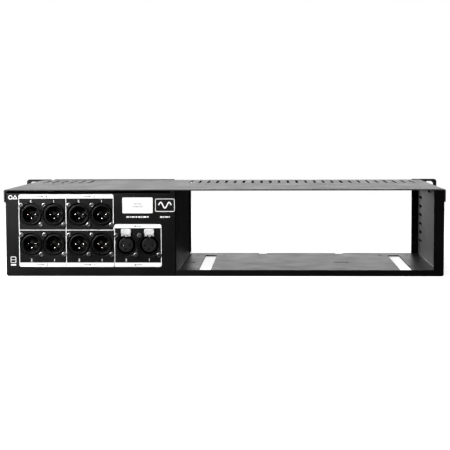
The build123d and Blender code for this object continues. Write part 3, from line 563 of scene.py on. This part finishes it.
def rear_symbols():
    """Plain signs: a ring, a triangle, a small cabinet over a bar, a wave in a frame, dashes."""
    signs = ring(*RING_SIGN)
    signs += stroke(TRIANGLE_SIGN, 0.75, closed=True)

    x = CABINET_U
    signs += box_outline(x, CABINET_Z, *CABINET_HALF, 0.6, SIGN_LINE)
    signs += [bar(x - 2.5, x + 2.5, 16.5, 17.0), bar(x - 2.7, x + 2.7, 10.7, 12.3, 0.3)]

    signs += box_outline(WAVE_U, WAVE_Z, *WAVE_FRAME_HALF, 1.2, SIGN_LINE)
    wave = [(WAVE_U + WAVE_REACH * (2 * i / WAVE_STEPS - 1),
             WAVE_Z + WAVE_SWING * math.sin(3 * math.pi * i / WAVE_STEPS))
            for i in range(WAVE_STEPS + 1)]
    signs += stroke(wave, 1.25)

    for start, end in SMALL_PRINT:
        signs += dash_row(start, end, SMALL_PRINT_Z, SMALL_PRINT_HEIGHT, (2.6, 1.2, 3.4, 1.8))
    printed("panel_symbol_print", signs, WHITE_INK)


def rating_label():
    """White adhesive label with a tinted field and two rows of plain dashes."""
    u0, u1, z0, z1 = LABEL
    m = LABEL_MARGIN
    printed("rating_label", [bar(u0, u1, z0, z1, 1.0)], LABEL_PAPER)
    printed("rating_label_field", [bar(u0 + m, u1 - m, z0 + m, z1 - m, 0.3)], LABEL_TINT,
            layer=2)
    dashes = []
    for z, widths in LABEL_ROWS:
        u = (u0 + u1) / 2 - (sum(widths) + LABEL_GAP * (len(widths) - 1)) / 2
        for width in widths:
            dashes.append(bar(u, u + width, z - 0.45, z + 0.45, 0.2))
            u += width + LABEL_GAP
    printed("rating_label_dashes", dashes, LABEL_GREY, layer=3)


SCALE_SWING, SCALE_STEP = 150, 30                # degrees each side of straight up, and per mark
TICK_REACH, SCALE_NUMBER_R = (13.6, 16.0), 18.6  # from the knob's axis
RULE_Z = (34.4, 34.8)                            # the line between knobs and buttons
POINTER_FLOOR = 0.0005                           # depth of a knob's pointer groove, in metres


def front_graphics():
    """Level scales, button numbers and a line across the faceplate, seen from the front."""
    white, numbers = [], []
    for side in ("left", "right"):
        knob = centre(f"level_knob_{side}") / MM
        middle = Vector((knob.x, knob.z))
        for i in range(2 * SCALE_SWING // SCALE_STEP + 1):
            angle = math.radians(90 + SCALE_SWING - SCALE_STEP * i)
            direction = Vector((math.cos(angle), math.sin(angle)))
            white += stroke([tuple(middle + direction * r) for r in TICK_REACH], 0.45)
            spot = middle + direction * SCALE_NUMBER_R
            numbers.append((str(i), spot.x, spot.y, 2.2, False))
    for n in (1, 2, 3, 4):
        button = centre(f"output_button_{n}") / MM
        numbers.append((str(n), button.x, button.z + 9.5, 3.0, False))
        white += [bar(button.x - 7.0, button.x + 7.0, button.z - 8.6, button.z - 8.1)]
    low, high = FACEPLATE[0] / MM, FACEPLATE[1] / MM
    white += [bar(low.x + 14, high.x - 14, *RULE_Z)]
    printed("faceplate_scale_print", white, WHITE_INK, plane=FRONT)
    numerals("faceplate_numbers", numbers, WHITE_INK, plane=FRONT)


def knob_pointers():
    """White fill in each knob's pointer groove."""
    for side in ("left", "right"):
        low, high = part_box(f"level_knob_{side}")
        knob = (low + high) / 2 / MM
        plane = FRONT.copy()
        plane[1][3] = low.y + POINTER_FLOOR
        pointer = bar(knob.x - 0.5, knob.x + 0.5, knob.z + 4.6, high.z / MM - 1.0)
        printed(f"level_pointer_{side}", [pointer], WHITE_INK, plane=plane, layer=6,
                body=f"level_{side}")


# --- stage ----------------------------------------------------------------------------------------
FLOOR_R = 6.0
FLOOR_DROP = 0.0002            # the floor lies this far under the tray
FLOOR_FADE = (0.45, 1.4)       # distances between which the floor thins out


def floor():
    """Pale seamless floor that thins out to the white surroundings far from the object."""
    mesh = bpy.data.meshes.new("floor")
    build = bmesh.new()
    bmesh.ops.create_circle(build, cap_ends=True, segments=96, radius=FLOOR_R)
    build.to_mesh(mesh)
    build.free()
    piece = bpy.data.objects.new("floor", mesh)
    piece.location.z = -FLOOR_DROP
    piece.visible_diffuse = piece.visible_glossy = False
    bpy.context.scene.collection.objects.link(piece)
    s = Shader("pale_floor")
    s.link(s.spread(s.noise(3.0, 2.0), 0.5, 0.6), s.surface.inputs["Roughness"])
    s.set(base_color=(0.85, 0.85, 0.85, 1.0), emission_color=(1.0, 1.0, 1.0, 1.0),
          emission_strength=0.80)
    distance = s.add("ShaderNodeVectorMath", operation="LENGTH")
    s.link(s.place, distance.inputs[0])
    s.link(s.spread(distance.outputs["Value"], 1.0, 0.0, *FLOOR_FADE), s.surface.inputs["Alpha"])
    mesh.materials.append(s.material)


def surroundings():
    """White to the camera, and almost dark to everything else, which the area lights light."""
    world = bpy.data.worlds.new("studio")
    bpy.context.scene.world = world
    world.use_nodes = True
    tree = world.node_tree
    tree.nodes.clear()
    path = tree.nodes.new("ShaderNodeLightPath")
    seen, lit = (tree.nodes.new("ShaderNodeBackground") for _ in range(2))
    mix, out = tree.nodes.new("ShaderNodeMixShader"), tree.nodes.new("ShaderNodeOutputWorld")
    seen.inputs["Color"].default_value = (1, 1, 1, 1)
    lit.inputs["Color"].default_value = (1, 1, 1, 1)
    lit.inputs["Strength"].default_value = 0.02
    tree.links.new(path.outputs["Is Camera Ray"], mix.inputs[0])
    tree.links.new(lit.outputs[0], mix.inputs[1])
    tree.links.new(seen.outputs[0], mix.inputs[2])
    tree.links.new(mix.outputs[0], out.inputs["Surface"])


def area_light(name, place, target, size, power, leaves_out=(), only=()):
    """A soft rectangular light; it can leave some CAD nodes out, or light only some of them."""
    light = bpy.data.lights.new(name, "AREA")
    light.shape = "RECTANGLE"
    light.size, light.size_y = size
    light.energy = power
    holder = bpy.data.objects.new(name, light)
    holder.location = place
    aim = Vector(target) - Vector(place)
    holder.rotation_euler = aim.to_track_quat("-Z", "Y").to_euler()
    holder.visible_camera = False
    bpy.context.scene.collection.objects.link(holder)
    if leaves_out or only:
        receivers = bpy.data.collections.new(f"{name}_receivers")
        for node in leaves_out or only:
            receivers.objects.link(NODES[node])
        holder.light_linking.receiver_collection = receivers
        for entry in receivers.collection_objects:
            entry.light_linking.link_state = "EXCLUDE" if leaves_out else "INCLUDE"
    return holder


# what the sheet of light in front of the unit leaves dark, and what the small light picks out
INSIDE = ("module_housing", "front_subpanel", "rear_board", "main_board", "front_board",
          "input_transformer_left", "input_transformer_right", "level_pot_left", "level_pot_right")
BRIGHT = ("input_latch_left", "input_latch_right", "output_socket_pins")


def lights():
    """Sheets overhead, beyond the open bay and at the side; two softer lights behind; a kick."""
    area_light("overhead", (0.0, -0.1, 1.6), (0, 0, 0), (2.4, 2.0), 6)
    area_light("far_sheet", (0.15, -2.2, 0.33), (0, 0, 0.05), (2.6, 0.65), 12.5, leaves_out=INSIDE)
    area_light("side_sheet", (1.7, -1.1, 0.15), (-0.1, 0, 0.05), (1.0, 0.8), 42)
    soft = area_light("rear_soft", (0.5, 1.1, 1.15), (0.10, 0.1, 0.04), (0.7, 0.7), 26)
    soft.visible_glossy = False
    area_light("rear_key", (0.43, 0.50, 0.26), (0.18, 0.12, 0.06), (0.22, 0.22), 2.9)
    area_light("metal_kick", (0.02, 1.55, 0.34), (0.13, 0.12, 0.05), (0.4, 0.4), 5, only=BRIGHT)


LENS, SENSOR = 102.64, 36.0
CAMERA_X, CAMERA_OFF, CAMERA_Z = -0.0492, 1.2902, 0.1554   # CAMERA_OFF is from the rear panel
YAW, PITCH, ROLL = (math.radians(a) for a in (-2.118, 4.574, 0.193))


def camera():
    """Long lens behind the unit, a little to one side of its middle and above it."""
    data = bpy.data.cameras.new("camera")
    data.lens = LENS
    data.sensor_width = SENSOR
    data.clip_start = 0.01
    holder = bpy.data.objects.new("camera", data)
    bpy.context.scene.collection.objects.link(holder)
    right = Vector((-math.cos(YAW), math.sin(YAW), 0))
    forward = Vector((-math.sin(YAW) * math.cos(PITCH), -math.cos(YAW) * math.cos(PITCH),
                      -math.sin(PITCH)))
    axes = Matrix((right, right.cross(forward), -forward)).transposed().to_4x4()
    place = Matrix.Translation((CAMERA_X, REAR_Y + CAMERA_OFF, CAMERA_Z))
    holder.matrix_world = place @ axes @ Matrix.Rotation(-ROLL, 4, "Z")
    bpy.context.scene.camera = holder


camera()
finish_cad_nodes()
latch_spring("left")
latch_spring("right")
rear_frames()
rear_arrows()
rear_symbols()
rating_label()
front_graphics()
knob_pointers()
floor()
surroundings()
lights()
bpy.context.scene.view_settings.view_transform = "Standard"
